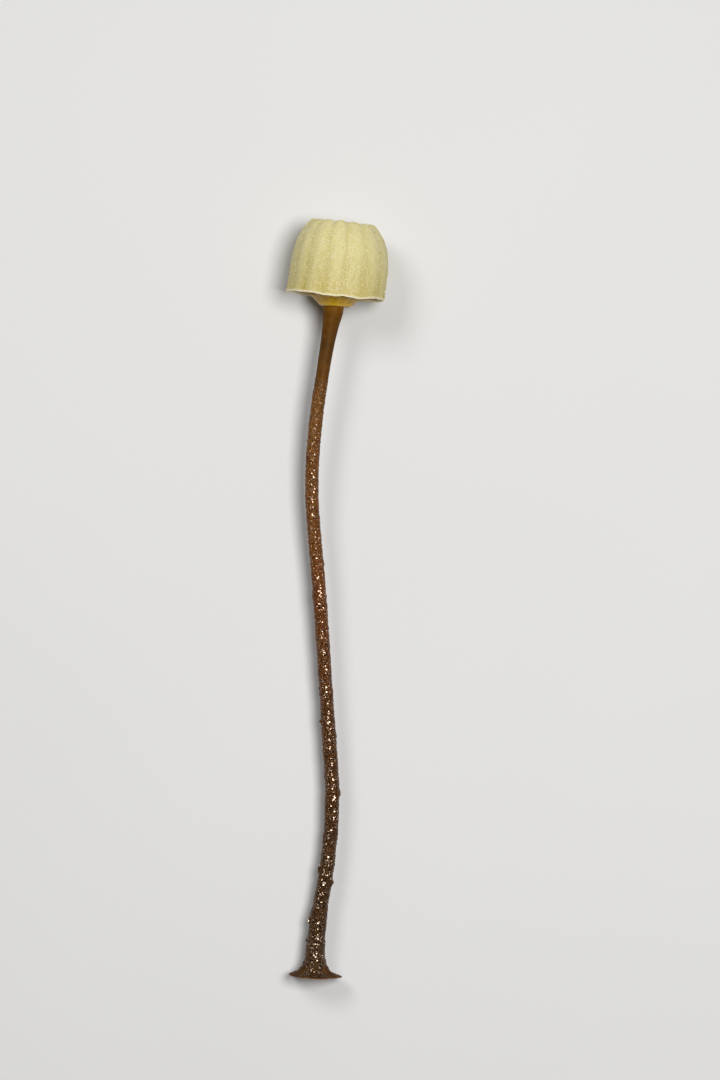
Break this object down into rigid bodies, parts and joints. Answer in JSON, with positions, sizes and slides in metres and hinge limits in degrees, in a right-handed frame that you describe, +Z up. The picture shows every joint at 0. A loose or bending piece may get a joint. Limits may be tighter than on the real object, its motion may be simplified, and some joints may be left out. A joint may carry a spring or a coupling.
{
  "type": "parachute mushroom",
  "caption": "Small mushroom with a pleated bell cap, gills joined by a collar and a hair-thin bowed stem on a flared foot, lying as picked.",
  "frame": {"origin": "centre of the bounding box's base, on the surface that the mushroom lies on", "axes": "+Y along the stem from the foot towards the cap, +Z up from the surface to the side that the picture shows, +X to the right of that view"},
  "size_m": [0.0082, 0.0608, 0.0078],
  "materials": {
    "cap_flesh": "pale cream, soft satin, slightly translucent flesh",
    "gill_flesh": "olive gold, soft satin, slightly translucent flesh",
    "stem_rind": "reddish dark brown, granular, with small glossy grains, paler amber towards the top and the foot"
  },
  "bodies": {
    "root": {"cap": "cap_flesh", "gills": "gill_flesh", "stem": "stem_rind"}
  },
  "joints": []
}
